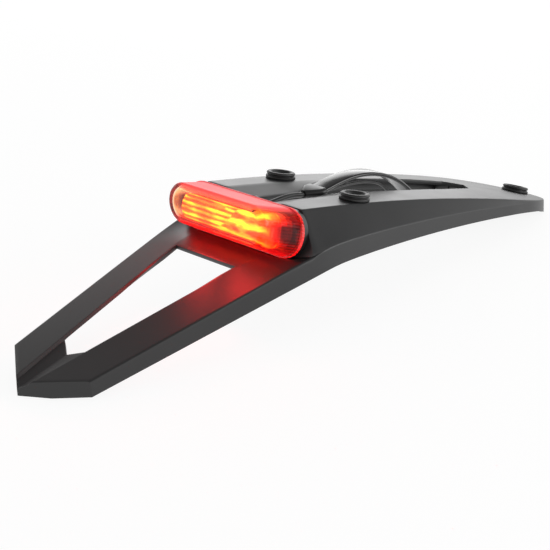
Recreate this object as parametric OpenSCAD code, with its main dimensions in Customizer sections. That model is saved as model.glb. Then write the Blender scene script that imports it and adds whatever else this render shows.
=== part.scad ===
// Fender extension for an off-road motorcycle, with its rear lamp and lead.
// It stands on its tail edge and its nose. +X runs forward to the nose, +Y is its left side.
// All sizes are in millimetres.

/* [Moulding] */
// length from tail point to nose
length = 424; // [380:1:460]
// half the width of the flat deck
deck_half_w = 39.5; // [34:0.5:44]
// deck height above the floor, over the middle of the length
deck_h = 60; // [54:0.5:66]
// fall of the deck for each millimetre forward, at the middle of the length
deck_fall = 0.184; // [0.17:0.002:0.2]
// extra fall for each millimetre squared
deck_bend = 0.000335; // [0.0003:0.000005:0.00036]
// rise of the deck's centre line over its edges
deck_crown = 1.8; // [0.5:0.1:3]
// wall thickness
wall = 2.8; // [2.2:0.1:3.4]
// radius along the deck edge and the side crease
crease_r = 1.6; // [0.8:0.1:2.4]
// length of the rounded nose
nose_len = 72; // [64:1:78]
// distance from the nose back to where the sides meet the deck's width
side_meet = 47; // [42:1:52]

/* [Sides] */
// half the width at the tail corners
tail_half_w = 34; // [30:0.5:38]
// widening of the tail for each millimetre forward
tail_flare = 0.155; // [0.13:0.005:0.17]
// half the width that the sides would have over the middle of the length
side_half_w = 53.6; // [51:0.2:55]
// drop from the deck edge to the side crease, over the middle of the length
side_drop = 14.5; // [12:0.5:17]
// height of the side crease at the tail corners
tail_h = 11.6; // [10:0.2:13]
// rise of the tail for each millimetre forward
tail_rise = 0.245; // [0.23:0.005:0.26]
// height of the upright skirt under the crease, at its deepest
skirt_h = 12.4; // [10:0.2:15]
// height of the skirt ahead of the middle
skirt_nose_h = 6.2; // [5:0.2:8]

/* [Tail frame] */
// half the width of the window at its front
window_front_w = 25.5; // [22:0.5:28]
// half the width of the window at its rear
window_rear_w = 10.9; // [8:0.5:13]
// distance from the tail point to the window's front edge
window_reach = 130; // [122:1:134]
// sweep of the tail end and of the window's rear edge
tail_sweep = 0.65; // [0.5:0.01:0.8]
// length of the bar behind the window
tail_bar = 32; // [26:1:38]
// depth of the recess between the two beams
recess_d = 1.8; // [1:0.1:2.4]
// fall of each beam top towards its outer edge
beam_fall = 1.6; // [1:0.1:2.4]

/* [Deck opening] */
// half the width of the opening's widest part
slot_half_w = 18; // [15:0.5:20]
// half the width of its blunt front end
slot_front_w = 11.5; // [8:0.5:14]
// distance from the nose back to the corners of its front end
slot_back = 76; // [68:1:84]
// how far the front end comes to a point
slot_point = 8.5; // [0:0.5:10]
// half the width of the lead channel behind it
channel_half_w = 6; // [5:0.5:8]
// depth of the dished trough beside the channel
trough_d = 4.2; // [3:0.2:5]

/* [Mounting grommets] */
// distance between the two rear grommets
mount_span = 62.4; // [58:0.2:66]
// distance from the lamp seat to the rear pair
mount_seat = 50.7; // [46:0.1:56]
// distance from the nose to the front grommet
mount_nose = 12; // [11:0.5:16]
// outside diameter
grommet_d = 18.2; // [16:0.2:19]
// bore for the mounting bolt
grommet_bore = 8.4; // [7:0.1:9]
// diameter of the hole in the deck
grommet_hole = 14; // [12.6:0.2:14.6]
// height above the deck
grommet_h = 4; // [3:0.2:5]

/* [Lamp] */
// distance from the tail point to the top of the lamp seat
lamp_reach = 168.3; // [162:0.1:172]
// tilt of the lamp and of the face that it sits on
lamp_tilt = 16.5; // [12:0.5:20]
// half the width of the lens at its foot
lens_half_w = 48.5; // [45:0.5:50]
// height of the lens at its foot
lens_h = 28; // [26:0.5:29]
// how far the lens stands out
lens_depth = 23; // [18:0.5:26]
// taper of each end of the lens
lens_taper = 7.5; // [6:0.5:9]
// lens wall
lens_wall = 2; // [1.6:0.1:2.6]
// depth of the lamp base
base_depth = 5; // [4:0.5:7]
// distance between the lamp screws
screw_span = 72; // [66:1:76]
// diameter of a lamp screw
screw_d = 3.9; // [3:0.1:4.2]
// number of lamp chips in the row
chip_count = 9; // [5:1:11]

/* [Lead] */
// width of the flat sleeve
sleeve_w = 13; // [11:0.5:15]
// thickness of the flat sleeve
sleeve_t = 2.6; // [2:0.1:3.4]
// diameter of the round lead
lead_d = 3.2; // [2.8:0.1:4]

/* [Hidden] */
$fn = 48;

half_l = length / 2;
nose_x = half_l - nose_len;
side_x = half_l - side_meet;
seat = 0.05;
fit = 0.15;
lamp_x = lamp_reach - half_l;
window_front_x = window_reach - half_l;
slot_front_x = half_l - slot_back;
mount_rear_x = lamp_x + mount_seat;
mount_front_x = half_l - mount_nose;

// Two lines joined by a bend of size k: the lower of a and b.
function lower(a, b, k) = (a + b) / 2 - sqrt(pow((a - b) / 2, 2) + k * k);
function clamp(v, lo, hi) = max(lo, min(hi, v));

// Curves of the moulding along X.
function deck_z(x) = deck_h - deck_fall * x - deck_bend * x * x;
function crown(x) = deck_crown * clamp((x - lamp_x) / 70, 0, 1) * clamp((side_x + 30 - x) / 60, 0, 1);
function tail_z(x) = tail_h + tail_rise * (x + half_l - 22);
function tail_w(x) = tail_half_w + tail_flare * (x + half_l - 22);
function side_z(x) = min(deck_z(x) - 0.9,
    lower(tail_z(x), deck_z(x) - side_drop + side_drop * x / (half_l - 19), 1.8));
function side_w(x) = max(deck_half_w + 0.4,
    lower(tail_w(x), side_half_w - (side_half_w - deck_half_w) * x / side_x, 1.2));
function lip(x) = 2.3 * pow(max(0, (x - side_x) / 38), 2);
function skirt(x) = lip(x) + max(skirt_nose_h,
    lower(skirt_h + 0.024 * (x - lamp_x + 2),
        skirt_nose_h + (skirt_h - skirt_nose_h) * (side_x - 15 - x) / (side_x + 25), 0.3));
function hem_z(x) = max(0, side_z(x) - skirt(x));
function plan(x, end) = x < nose_x ? 1
    : pow(max(0.02, 1 - pow((x - nose_x) / (end - nose_x), 2.3)), 1 / 2.3);

// Beam tops and the bar between them.
function inner_w(x) = window_rear_w
    + (window_front_w - window_rear_w) * (x + half_l - 39) / (window_front_x + half_l - 39);
function dip(x) = 6.6 * pow(clamp((x - window_front_x) / 26, 0, 1.2), 2);
function inner_z(x) = side_z(x) + beam_fall + 0.018 * (x + 165) - dip(x);
function recess(x) = x < window_front_x - 48 ? recess_d : 0;

// Corner b between a and c rounded with n + 1 points, never past 0.45 of either leg.
function unit(v) = v / max(1e-6, norm(v));
function rounded(a, b, c, r, n) =
    let (u = unit(a - b), w = unit(c - b), half = acos(clamp(u * w, -0.9999, 0.9999)) / 2,
        t = min(r / tan(half), 0.45 * norm(a - b), 0.45 * norm(c - b)),
        p = b + u * t, q = b + w * t)
    [for (i = [0:n]) let (k = i / n) (1 - k) * (1 - k) * p + 2 * k * (1 - k) * b + k * k * q];

// A section symmetrical about Y = 0 from its right half, listed from the hem to the centre.
function both(half) = concat(half, [for (i = [len(half) - 2:-1:0]) [-half[i][0], half[i][1]]]);
function at_x(x, section) = [for (p = section) [x, p[0], p[1]]];

// Solid through rings of equal count.
module skin(rings) {
    n = len(rings[0]);
    m = len(rings);
    sides = [for (j = [0:m - 2], i = [0:n - 1]) let (k = (i + 1) % n)
        each [[j * n + k, j * n + i, (j + 1) * n + i], [j * n + k, (j + 1) * n + i, (j + 1) * n + k]]];
    polyhedron([for (ring = rings) each ring],
        concat([[for (i = [0:n - 1]) i]], sides, [[for (i = [n - 1:-1:0]) (m - 1) * n + i]]), convexity = 8);
}

// Section of the deck part, shrunk by g on all faces and by the nose's rounding.
function deck_section(x, g) =
    let (s = plan(x, half_l - g), w = max(4, (side_w(x) - g) * s), d = max(3, (deck_half_w - 0.7 * g) * s),
        hem = [w + 0.4, g > 0 ? -5 : hem_z(x)], side = [w, side_z(x) - 0.5 * g],
        edge = [min(d, w - 0.3), deck_z(x) - g], mid = [0, deck_z(x) + crown(x) * s - g],
        r = max(0.5, crease_r - 0.5 * g))
    both(concat([hem], rounded(hem, side, edge, r, 3), rounded(side, edge, mid, r, 3), [mid]));

// Section of the tail frame, shrunk by g.
function tail_section(x, g) =
    let (w = side_w(x) - g, i = inner_w(x), hem = [w + 0.4, g > 0 ? -5 : hem_z(x)],
        side = [w, side_z(x) - g], top = [i + 1.2, inner_z(x) - g],
        low = [i, inner_z(x) - recess(x) - g], mid = [0, inner_z(x) - 1.6 * recess(x) - g])
    both(concat([hem], rounded(hem, side, top, max(0.5, crease_r - 0.5 * g), 3), [top, low, mid]));

deck_steps = concat([for (i = [0:13]) lamp_x - 12 + (nose_x - lamp_x + 12) * i / 13],
    [for (i = [1:10]) nose_x + nose_len * sin(i * 90 / 10)]);
tail_steps = [for (i = [0:13]) -half_l - 2 + (half_l + 2 + lamp_x + 3) * i / 13];

module deck_loft(g) {
    skin([for (x = deck_steps) at_x(x - (x > nose_x ? g * (x - nose_x) / nose_len : 0),
        deck_section(x - (x > nose_x ? g * (x - nose_x) / nose_len : 0), g))]);
}

module tail_loft(g) {
    skin([for (x = tail_steps) at_x(x, tail_section(x, g))]);
}

// Plan of the tail, with its swept end moved forward by g.
module tail_plan(g) {
    x0 = -half_l + g;
    polygon([[x0, 0], [x0 + 60 * tail_sweep, 60], [lamp_x + 8, 60], [lamp_x + 8, -60], [x0 + 60 * tail_sweep, -60]]);
}

// Frame of the lamp: its -X points out of the seat, +Z up along it, origin at the deck's rear edge.
module at_lamp() {
    translate([lamp_x, 0, deck_z(lamp_x)]) rotate([0, lamp_tilt, 0]) children();
}

// All space behind the lamp seat moved forward by g.
module behind_seat(g) {
    at_lamp() translate([-200 + g, -100, -150]) cube([200, 200, 220]);
}

module window_cut() {
    r = -half_l + tail_bar;
    linear_extrude(height = 90) polygon([[r, 0], [r + window_rear_w * tail_sweep, window_rear_w],
        [window_front_x, window_front_w], [window_front_x, -window_front_w],
        [r + window_rear_w * tail_sweep, -window_rear_w]]);
}

slot_shape = [[lamp_x + 3, channel_half_w], [mount_rear_x - 9, channel_half_w],
    [mount_rear_x + 25, slot_half_w], [mount_rear_x + 59, slot_half_w], [slot_front_x - 32, slot_half_w - 2],
    [slot_front_x, slot_front_w], [slot_front_x + slot_point, 0.1]];

module slot_cut(grow, h) {
    linear_extrude(height = h) offset(r = 1.5) offset(delta = grow - 1.5)
        polygon(concat(slot_shape, [for (i = [len(slot_shape) - 1:-1:0]) [slot_shape[i][0], -slot_shape[i][1]]]));
}

// Dished trough: a shallow wedge that deepens from the slot crest to the channel, lowered by g.
module trough(g) {
    top = 8;
    xs = [lamp_x - 9, lamp_x + 10, mount_rear_x - 13, mount_rear_x + 5, mount_rear_x + 23];
    ws = [25, 23, 21, 19.5, slot_half_w];
    ds = [trough_d, trough_d, trough_d, 0.6 * trough_d, 0.05];
    skin([for (i = [0:4]) let (x = xs[i], z = deck_z(x) + crown(x))
        at_x(x, [[-ws[i] - g, z - 0.3 - g], [-channel_half_w, z - ds[i] - g], [channel_half_w, z - ds[i] - g],
            [ws[i] + g, z - 0.3 - g], [ws[i] + g, z + top], [-ws[i] - g, z + top]])]);
}

// Places the children on the deck at x, y with +Z square to the deck.
module on_deck(x, y) {
    z = deck_z(x) + crown(x) * (1 - abs(y) / deck_half_w);
    translate([x, y, z]) rotate([0, atan(deck_fall + 2 * deck_bend * x), 0]) children();
}

mounts = [[mount_rear_x, mount_span / 2], [mount_rear_x, -mount_span / 2], [mount_front_x, 0]];

// Upright rib with round ends between two points of the plan.
module rib(a, b) {
    hull() for (p = [a, b]) translate([p[0], p[1], 1]) cylinder(d = 0.6 * wall, h = 80, $fn = 12);
}

// Ribs under the deck: one along each side of the opening, and cross ribs out to the sides.
module deck_ribs() {
    y = slot_half_w + 4;
    for (s = [-1, 1]) {
        rib([lamp_x + 4, s * y], [slot_front_x + 4, s * y]);
        for (x = [17, 53, 89]) rib([mount_rear_x + x, s * y], [mount_rear_x + x, s * (deck_half_w - 1)]);
        rib([slot_front_x + 4, s * 9], [slot_front_x + 4, s * (deck_half_w - 1)]);
    }
    rib([slot_front_x + 36, -deck_half_w + 9], [slot_front_x + 36, deck_half_w - 9]);
}

module tail_ribs() {
    for (s = [-1, 1])
        rib([-half_l + tail_bar + 16, s * (window_rear_w + 9)], [window_front_x - 2, s * (window_front_w + 8)]);
    for (x = [window_front_x + 6, window_front_x + 18]) rib([x, -window_front_w - 18], [x, window_front_w + 18]);
}

// The space within depth below the middle of the deck's wall, and the same for the tail.
module deck_band(depth) {
    difference() {
        deck_loft(0.5 * wall);
        translate([0, 0, -depth]) deck_loft(0.5 * wall);
    }
}

module tail_band(depth) {
    difference() {
        tail_loft(0.5 * wall);
        translate([0, 0, -depth]) tail_loft(0.5 * wall);
    }
}

module fender_moulding() {
    color("#2b2b2c") difference() {
        union() {
            difference() {
                union() {
                    difference() {
                        deck_loft(0);
                        behind_seat(0);
                    }
                    intersection() {
                        tail_loft(0);
                        translate([0, 0, -1]) linear_extrude(height = 90) tail_plan(0);
                    }
                }
                difference() {
                    deck_loft(wall);
                    behind_seat(wall);
                }
                intersection() {
                    tail_loft(wall);
                    translate([0, 0, -1]) linear_extrude(height = 90) tail_plan(1.25 * wall);
                }
            }
            intersection() {
                deck_ribs();
                deck_band(7);
                translate([lamp_x + 2, -60, 0]) cube([300, 120, 90]);
            }
            intersection() {
                tail_ribs();
                tail_band(5);
            }
            intersection() {
                trough(wall);
                deck_loft(0.2);
                translate([lamp_x, -60, 0]) cube([80, 120, 90]);
            }
            for (m = mounts) intersection() {
                on_deck(m[0], m[1]) translate([0, 0, -wall - 1]) cylinder(d = grommet_d + 3, h = wall + 3);
                deck_loft(0.2);
            }
        }
        window_cut();
        slot_cut(0, 90);
        trough(0);
        at_lamp() translate([-1, -channel_half_w, lead_v - channel_half_w]) cube([14, 2 * channel_half_w, 40]);
        for (m = mounts) on_deck(m[0], m[1]) translate([0, 0, -12]) cylinder(d = grommet_hole, h = 30);
        for (m = mounts) on_deck(m[0], m[1]) translate([0, 0, -12 - wall]) cylinder(d = grommet_d + 1, h = 12);
        for (s = [-1, 1]) at_lamp() translate([-1, s * screw_span / 2, -lens_h / 2]) rotate([0, 90, 0])
            cylinder(d = screw_d + 0.4, h = wall + 4);
    }
}

// Rubber grommet: two-tier head, neck in the deck hole, foot under the deck.
module grommet() {
    head = grommet_d / 2;
    neck = grommet_hole / 2 - fit;
    bore = grommet_bore / 2;
    rotate_extrude() polygon([[bore, -wall - 2.4], [head - 0.6, -wall - 2.4], [head - 0.2, -wall - 2],
        [head - 0.2, -wall], [neck, -wall], [neck, 0], [head - 0.2, 0.05], [head, 0.5], [head, 1.5],
        [head - 0.9, 1.9], [head - 0.9, 2.3], [head - 0.3, 2.7], [head - 0.4, grommet_h - 0.5],
        [head - 1, grommet_h], [bore + 2.3, grommet_h], [bore + 1.7, grommet_h - 0.5],
        [bore + 1.2, grommet_h - 2.4], [bore, grommet_h - 2.8]]);
}

module grommet_left() {
    color("#1b1b1b") on_deck(mounts[0][0], mounts[0][1]) grommet();
}

module grommet_right() {
    color("#1b1b1b") on_deck(mounts[1][0], mounts[1][1]) grommet();
}

module grommet_front() {
    color("#1b1b1b") on_deck(mounts[2][0], mounts[2][1]) grommet();
}

// Outline of the lamp in its own frame: an oval bar with round ends, top at v.
function oval(w, h, v, n) = let (r = h / 2)
    [for (i = [0:n - 1]) let (a = -360 * i / n, side = cos(a) >= 0 ? 1 : -1)
        [side * (w - r) + r * cos(a), v - r + r * sin(a)]];
function lamp_ring(s, w, h, v, lean) = [for (p = oval(w, h, v, 48)) [-s - lean * (p[1] + h / 2), p[0], p[1]]];

lens_lean = 0.2;
lens_front_h = lens_h - 4;
lens_edge_r = 3.2;

// Lens body grown or shrunk by g, from its foot to its rounded front face.
module lens_body(g, foot) {
    steps = [for (i = [0:5]) i * 90 / 5];
    front = base_depth + lens_depth - g;
    skin(concat([lamp_ring(foot, lens_half_w - g, lens_h - 2 * g, -g, 0)],
        [for (a = steps) let (in = lens_edge_r * (1 - cos(a)))
            lamp_ring(front - lens_edge_r * (1 - sin(a)), lens_half_w - lens_taper - g - in,
                lens_front_h - 2 * g - 2 * in, -g - in - 0.3, lens_lean)]));
}

module lamp_lens() {
    color("#d9261c") at_lamp() difference() {
        union() {
            lens_body(0, base_depth);
            skin([lamp_ring(base_depth, lens_half_w + 1.5, lens_h + 0.6, 0.3, 0),
                lamp_ring(base_depth + 1.8, lens_half_w + 1.4, lens_h + 0.4, 0.2, 0)]);
        }
        lens_body(lens_wall, base_depth - 1);
    }
}

lead_v = -6.2;
lead_hole = lead_d + 2.6;
floor_t = 2;
board_s = floor_t + 0.6;
board_t = 1.6;
board_half_w = screw_span / 2 - 6;
board_h = lens_h - 12;
lamp_v = -lens_h / 2;
chip_pitch = 2 * (board_half_w - 4) / (chip_count - 1);
reflector_s = base_depth + 0.3;
tray_d = 8;

// Box in the lamp's frame: from s0 to s1 out of the seat, centred on y, v.
module lamp_box(s0, s1, y, v, w, h) {
    translate([-s1, y - w / 2, v - h / 2]) cube([s1 - s0, w, h]);
}

module lamp_base() {
    cavity_w = lens_half_w - 4;
    cavity_h = lens_h - 8;
    color("#1e1e1f") at_lamp() difference() {
        union() {
            difference() {
                skin([lamp_ring(seat, lens_half_w - 0.5, lens_h - 1, -0.5, 0),
                    lamp_ring(base_depth - seat, lens_half_w + 1, lens_h, 0, 0)]);
                skin([lamp_ring(floor_t, cavity_w, cavity_h, -4, 0),
                    lamp_ring(base_depth + 1, cavity_w, cavity_h, -4, 0)]);
                skin([lamp_ring(base_depth - 1.2, lens_half_w - 1.2, lens_h - 2.4, -1.2, 0),
                    lamp_ring(base_depth + 1, lens_half_w - 1.2, lens_h - 2.4, -1.2, 0)]);
            }
            for (s = [-1, 1]) {
                translate([-base_depth + 0.6, s * screw_span / 2, lamp_v]) rotate([0, 90, 0])
                    cylinder(d = screw_d + 3.6, h = base_depth - 1.6);
                lamp_box(1, board_s - seat, s * (board_half_w - 6), lamp_v, 4, board_h);
            }
        }
        for (s = [-1, 1]) translate([-base_depth, s * screw_span / 2, lamp_v]) rotate([0, 90, 0])
            cylinder(d = screw_d + 0.1, h = base_depth + 1);
        translate([-base_depth, 0, lead_v]) rotate([0, 90, 0]) cylinder(d = lead_hole, h = base_depth + 1);
    }
}

module lamp_seal() {
    out_w = lens_half_w - 1.2 - fit;
    out_h = lens_h - 2.4 - 2 * fit;
    color("#3a3a3a") at_lamp() difference() {
        skin([lamp_ring(base_depth - 1.2 + seat, out_w, out_h, -1.2 - fit, 0),
            lamp_ring(base_depth - seat, out_w, out_h, -1.2 - fit, 0)]);
        skin([lamp_ring(base_depth - 3, out_w - 1.8, out_h - 3.6, -3 - fit, 0),
            lamp_ring(base_depth + 1, out_w - 1.8, out_h - 3.6, -3 - fit, 0)]);
    }
}

module led_board() {
    color("#e8e8e2") at_lamp() lamp_box(board_s, board_s + board_t, 0, lamp_v, 2 * board_half_w, board_h);
}

module led_chips() {
    s0 = board_s + board_t + seat;
    color("#ffd23c") at_lamp() for (i = [0:chip_count - 1])
        lamp_box(s0, s0 + 0.8, (i - (chip_count - 1) / 2) * chip_pitch, lamp_v - 2, 3.2, 2.8);
}

module board_parts() {
    s0 = board_s + board_t + seat;
    color("#26231f") at_lamp() for (i = [-2:2]) if (i != 0)
        lamp_box(s0, s0 + 0.7, i * board_half_w / 3, lamp_v + board_h / 2 - 1.6, 3.2, 1.6);
}

// Metallised tray round the chips, with the long ribs that break up the light.
module reflector() {
    w = lens_half_w - 8;
    h = lens_h - 8;
    color("#d8d8da") at_lamp() difference() {
        union() {
            skin([lamp_ring(reflector_s, w, h, -4, 0), lamp_ring(reflector_s + 1.2, w, h, -4, 0)]);
            difference() {
                skin([lamp_ring(reflector_s, w, h, -4, 0), lamp_ring(reflector_s + tray_d, w, h, -4, 0)]);
                skin([lamp_ring(reflector_s - 1, w - 1.2, h - 2.4, -5.2, 0),
                    lamp_ring(reflector_s + tray_d + 1, w - 1.2, h - 2.4, -5.2, 0)]);
            }
            for (i = [-2:2], side = [-1, 1]) hull() for (y = [4, w - 8])
                translate([-reflector_s - 1, side * y, lamp_v + i * h / 6.4]) rotate([0, -90, 0])
                    cylinder(d1 = 1.4, d2 = 0.5, h = 1.8, $fn = 8);
        }
        for (i = [0:chip_count - 1])
            lamp_box(0, reflector_s + 4, (i - (chip_count - 1) / 2) * chip_pitch, lamp_v - 2, 4, 3.4);
    }
}

// Clear optic with round ends that stands on two feet over the tray.
module light_guide() {
    w = lens_half_w - 8;
    h = lens_h - 8.5;
    s0 = reflector_s + tray_d + 0.2;
    color("#f2a04a") at_lamp() {
        skin([lamp_ring(s0, w - 1.2, h - 2.4, lamp_v + h / 2 - 1.2, 0),
            lamp_ring(s0 + 1, w, h, lamp_v + h / 2, 0), lamp_ring(s0 + 1.8, w, h, lamp_v + h / 2, 0),
            lamp_ring(s0 + 2.8, w - 1, h - 2, lamp_v + h / 2 - 1, 0),
            lamp_ring(s0 + 3.3, w - 2.8, h - 5.6, lamp_v + h / 2 - 2.8, 0)]);
        for (s = [-1, 1]) lamp_box(reflector_s + 1.2 + seat, s0 + 1.5, s * (w - 4), lamp_v, 3, h / 2);
    }
}

module lamp_screw(side) {
    head_t = 2.2;
    color("#b9bcc0") at_lamp() translate([wall + seat, side * screw_span / 2, lamp_v])
        rotate([0, 90, 0]) {
            difference() {
                cylinder(d1 = screw_d * 2, d2 = screw_d * 1.6, h = head_t);
                translate([0, 0, head_t - 1.2]) cylinder(d = 2.2, h = 3, $fn = 6);
            }
            translate([0, 0, -wall - base_depth + 1]) cylinder(d = screw_d, h = wall + base_depth - 0.5);
        }
}

module lamp_screw_left() {
    lamp_screw(1);
}

module lamp_screw_right() {
    lamp_screw(-1);
}

// Rubber ring in the notch of the lamp seat, with its neck in the lamp base.
module lead_grommet() {
    color("#161616") at_lamp() translate([0, 0, lead_v]) rotate([0, 90, 0]) difference() {
        union() {
            translate([0, 0, -floor_t]) cylinder(d = lead_hole - 0.2, h = floor_t + 1);
            translate([0, 0, 0]) cylinder(d = 2 * channel_half_w - 0.3, h = wall);
            translate([0, 0, wall - 0.2]) cylinder(d1 = 8.4, d2 = lead_d + 2.4, h = 4);
        }
        translate([0, 0, -5]) cylinder(d = lead_d + 0.1, h = 20);
    }
}

// Smooth curve through hand-set points, m steps for each span.
function curve(p, m) = let (n = len(p) - 1) concat([for (i = [0:n - 1], j = [0:m - 1])
    let (a = p[max(0, i - 1)], b = p[i], c = p[i + 1], d = p[min(n, i + 2)], t = j / m)
    0.5 * (2 * b + (c - a) * t + (2 * a - 5 * b + 4 * c - d) * t * t
        + (3 * b - a - 3 * c + d) * t * t * t)], [p[n]]);

// Sweeps an oval of w by t along a path in the plane Y = y.
module sweep(path, y, w, t, n) {
    last = len(path) - 1;
    skin([for (i = [0:last]) let (u = unit(path[min(last, i + 1)] - path[max(0, i - 1)]))
        [for (j = [0:n - 1]) let (c = cos(360 * j / n), s = sin(360 * j / n),
            a = w > t ? sign(c) * (w - t) / 2 + c * t / 2 : c * w / 2, b = s * t / 2)
            [path[i][0] - u[1] * b, y + a, path[i][1] + u[0] * b]]]);
}

// The lead's route in the plane Y = 0, [x, z]; each stretch is its own piece.
boot_from = [-4, 57.8];
boot_to = [8, 58.2];
function lamp_at(s, v) = [lamp_x - s * cos(lamp_tilt) + v * sin(lamp_tilt),
    deck_z(lamp_x) + s * sin(lamp_tilt) + v * cos(lamp_tilt)];
rear_route = [lamp_at(1.5, lead_v), lamp_at(-2, lead_v), lamp_at(-5, lead_v), lamp_at(-8, lead_v),
    [-33.5, 59.2], [-28, 59.4], [-22, 59.7], [-16, 59.7], [-10, 59], [-5.5, 58.1], [-2.2, 57.8]];
sleeve_route = [[8.1, 58.3], [13, 59], [18, 59.8], [24, 60.5], [31, 60.9], [38, 60.7], [45, 59.9],
    [52, 58.4], [59, 56.2], [66, 53.3], [72, 50], [78, 45.8], [83.5, 41], [88.5, 35.6], [93, 30.6]];
wire_route = [[8.1, 56.9], [14, 56.9], [20, 56.8], [26, 56.7], [32, 56.3], [38, 55.7], [44, 54.8],
    [50, 53.4], [55, 51.8], [59, 49.9], [63, 47], [66.5, 43.2], [69.5, 38.5], [73, 34.2], [78, 31.2],
    [85, 29.4], [93, 28.9], [102, 28.9], [112, 28.5], [122, 27.3], [132, 25.1], [139, 23.2], [145.4, 21.4]];
tail_route = [[93.2, 30.4], [96.5, 27.9], [101, 26.3], [107, 25.8], [114, 25.6], [121, 25],
    [128, 23.8], [137, 21.6], [145, 19.5]];

module lamp_lead() {
    color("#151515") sweep(curve(rear_route, 2), 0, lead_d, lead_d, 8);
}

// Moulded boot from the round lead to the flat sleeve; it lies on the edges of the channel.
module lead_boot() {
    color("#0d0d0d") difference() {
        hull() {
            translate([boot_from[0], 0, boot_from[1]]) rotate([0, 90, 0]) cylinder(d = lead_d + 2, h = 1);
            for (s = [-1, 1]) translate([boot_to[0] - 4, s * (sleeve_w / 2 - 0.6), boot_to[1]])
                rotate([0, 90, 0]) cylinder(d = sleeve_t + 2, h = 4);
        }
        translate([boot_from[0] - 1, 0, boot_from[1]]) rotate([0, 90, 0]) cylinder(d = lead_d + 0.1, h = 3);
    }
}

module flat_sleeve() {
    color("#101010") sweep(curve(sleeve_route, 2), 0, sleeve_w, sleeve_t, 12);
}

module thin_wire() {
    color("#1c1c1c") sweep(curve(wire_route, 2), -3, 1.8, 1.8, 8);
}

module lead_tail() {
    color("#151515") sweep(curve(tail_route, 2), 0, lead_d, lead_d, 8);
}

// Frame of the connector: centred under the deck ahead of the opening, +Z square to the deck.
module at_connector() {
    on_deck(slot_front_x + 19, 0) translate([0, 0, -wall - clip_t]) children();
}

clip_t = 1.2;
plug_l = 16;
plug_w = 12;
plug_h = 7.6;

module lead_connector() {
    color("#202020") at_connector() difference() {
        translate([-plug_l / 2, -plug_w / 2, -plug_h]) cube([plug_l, plug_w, plug_h - seat]);
        translate([plug_l / 2 - 3, -plug_w / 2 + 1.4, -plug_h + 1.2]) cube([4, plug_w - 2.8, plug_h - 2.4]);
    }
}

module connector_cap() {
    color("#2a2a2a") at_connector() translate([plug_l / 2 + seat, -plug_w / 2 - 1, -plug_h - 0.6]) difference() {
        cube([5, plug_w + 2, plug_h + 0.4]);
        translate([-1, 2, 2]) cube([4, plug_w - 2, plug_h - 3.2]);
    }
}

// Flat clip between the connector and the deck.
module lead_clip() {
    color("#242424") at_connector() translate([-4, -3, 0]) cube([8, 6, clip_t - seat]);
}

fender_moulding();
grommet_left();
grommet_right();
grommet_front();
lamp_base();
lamp_seal();
lamp_lens();
led_board();
led_chips();
board_parts();
reflector();
light_guide();
lamp_screw_left();
lamp_screw_right();
lead_grommet();
lamp_lead();
lead_boot();
flat_sleeve();
thin_wire();
lead_tail();
lead_connector();
connector_cap();
lead_clip();
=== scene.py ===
# %% [markdown]
# # A fender extension with its rear lamp
# A long black moulding bolts under the rear fender of an off-road motorcycle. A red lamp sits on an
# upright seat in its middle, and the lamp's lead runs forward over the deck and down through its opening.
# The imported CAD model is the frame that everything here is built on, so it is loaded first.

# %% Load the frame
import math

import bmesh
import bpy
import numpy as np
from mathutils import Matrix, Vector


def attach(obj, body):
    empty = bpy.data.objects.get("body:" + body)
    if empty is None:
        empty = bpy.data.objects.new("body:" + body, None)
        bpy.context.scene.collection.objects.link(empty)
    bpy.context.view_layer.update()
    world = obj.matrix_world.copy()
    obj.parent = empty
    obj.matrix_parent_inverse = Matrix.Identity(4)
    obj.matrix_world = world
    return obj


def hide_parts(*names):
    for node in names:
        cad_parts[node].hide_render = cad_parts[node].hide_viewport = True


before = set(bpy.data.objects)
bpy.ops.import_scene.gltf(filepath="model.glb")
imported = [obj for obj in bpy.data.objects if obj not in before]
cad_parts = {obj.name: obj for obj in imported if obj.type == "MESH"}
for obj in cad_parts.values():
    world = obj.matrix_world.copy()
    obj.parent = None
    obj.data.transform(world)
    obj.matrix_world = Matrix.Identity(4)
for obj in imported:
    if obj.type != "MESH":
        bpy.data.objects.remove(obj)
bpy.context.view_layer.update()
MM = 0.001
print("CAD nodes:", len(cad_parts))

# %% [markdown]
# ## Camera
# The camera stands behind the tail, to the right of the object and above it. A long lens keeps the far
# half of the moulding nearly as large as the near half, so the camera is set by its own three axes
# instead of by a target: right, up and backwards are the columns of its matrix.

# %% Place the camera
EYE = (-0.56425, -0.58027, 0.32286)
RIGHT = (0.72690708, -0.68612464, -0.02896672)
UP = (0.2699532, 0.24670539, 0.93073182)
FORWARD = (0.63145179, 0.68437521, -0.36455344)
camera_data = bpy.data.cameras.new("camera")
camera_data.lens = 93.6
camera_data.sensor_width = 36
camera = bpy.data.objects.new("camera", camera_data)
bpy.context.scene.collection.objects.link(camera)
rows = [[RIGHT[i], UP[i], -FORWARD[i], EYE[i]] for i in range(3)]
camera.matrix_world = Matrix(rows + [[0, 0, 0, 1]])
bpy.context.scene.camera = camera
print("camera at", EYE)

# %% [markdown]
# ## Meshes from numpy
# A surface is a grid of points, rows by columns. Its faces come from the grid's indices, worked out for
# the whole grid at once, so a row or a column can also be closed into a ring.

# %% Grid helper
def grid_faces(rows, columns, wrap=False):
    """Quads of a grid: point (i, j) has index i * columns + j; wrap joins the last column to the first."""
    i, j = np.meshgrid(np.arange(rows - 1), np.arange(columns if wrap else columns - 1), indexing="ij")
    k = (j + 1) % columns
    quads = [i * columns + j, i * columns + k, (i + 1) * columns + k, (i + 1) * columns + j]
    return np.stack(quads, -1).reshape(-1, 4)


def capped(rings):
    """Faces of a closed tube through rings, m rings of n points, with one face over each end."""
    m, n = rings.shape[:2]
    first = list(range(n))[::-1]
    last = [(m - 1) * n + i for i in range(n)]
    return [first] + [list(f) for f in grid_faces(m, n, wrap=True)] + [last]


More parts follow.
